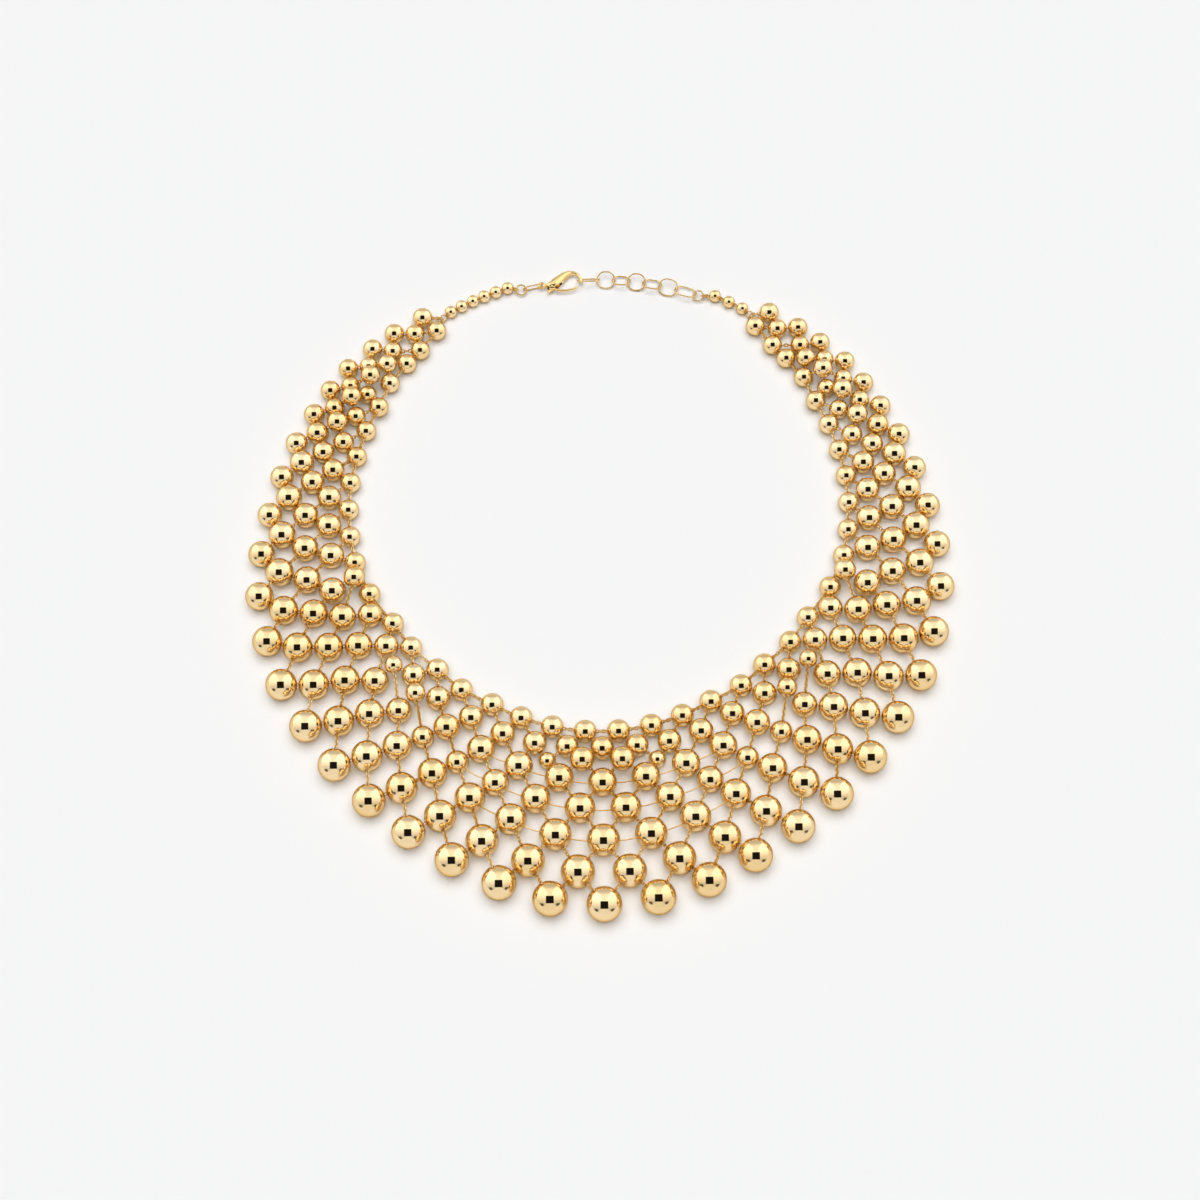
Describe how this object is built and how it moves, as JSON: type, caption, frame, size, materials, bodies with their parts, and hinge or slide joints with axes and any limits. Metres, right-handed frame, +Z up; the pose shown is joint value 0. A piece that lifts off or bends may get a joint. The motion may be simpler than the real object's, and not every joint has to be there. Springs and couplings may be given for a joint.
{
  "type": "bib necklace",
  "caption": "Beaded bib necklace: a diamond net of polished gold beads graduated towards the front, on two beaded straps with a lobster clasp and an extender chain.",
  "frame": {"origin": "centre of the bounding box at the surface that the necklace lies on", "axes": "+Z up, the front of the bib towards -Y, the clasp towards +Y"},
  "size_m": [0.2072, 0.218, 0.01],
  "materials": {
    "bead_gold": "mirror polished gold plate",
    "chain_gold": "polished gold plate",
    "clasp_gold": "polished gold plate"
  },
  "bodies": {
    "necklace": {"net_string_01": "bead_gold", "net_string_02": "bead_gold", "net_string_03": "bead_gold", "net_string_04": "bead_gold", "net_string_05": "bead_gold", "net_string_06": "bead_gold", "net_string_07": "bead_gold", "net_string_08": "bead_gold", "net_string_09": "bead_gold", "net_string_10": "bead_gold", "net_string_11": "bead_gold", "net_string_12": "bead_gold", "net_string_13": "bead_gold", "net_string_14": "bead_gold", "net_string_15": "bead_gold", "net_string_16": "bead_gold", "net_string_17": "bead_gold", "net_string_18": "bead_gold", "net_string_19": "bead_gold", "net_string_20": "bead_gold", "net_string_21": "bead_gold", "net_string_22": "bead_gold", "net_string_23": "bead_gold", "net_string_24": "bead_gold", "net_string_25": "bead_gold", "net_string_26": "bead_gold", "net_string_27": "bead_gold", "net_string_28": "bead_gold", "net_string_29": "bead_gold", "net_string_30": "bead_gold", "net_string_31": "bead_gold", "net_string_32": "bead_gold", "net_string_33": "bead_gold", "net_string_34": "bead_gold", "net_string_35": "bead_gold", "net_string_36": "bead_gold", "net_string_37": "bead_gold", "net_string_38": "bead_gold", "net_string_39": "bead_gold", "net_string_40": "bead_gold", "net_string_inner": "bead_gold", "strap_strand_left": "bead_gold", "strap_strand_right": "bead_gold", "strap_ring": "chain_gold", "clasp_link": "chain_gold", "extender_link_1": "chain_gold", "extender_link_2": "chain_gold", "extender_link_3": "chain_gold", "extender_link_4": "chain_gold", "extender_link_5": "chain_gold", "extender_link_6": "chain_gold", "extender_link_7": "chain_gold", "end_ring": "chain_gold", "clasp_body": "clasp_gold"},
    "lever": {"clasp_lever": "clasp_gold"}
  },
  "joints": [
    {"name": "clasp_lever_hinge", "type": "hinge", "parent": "necklace", "child": "lever", "pos_m": [-0.01336, 0.10286, 0.0016], "axis": [0, 0, 1], "range_deg": [0, 13], "stiffness_Nm_per_rad": 0.002, "springref_deg": -20.05}
  ]
}
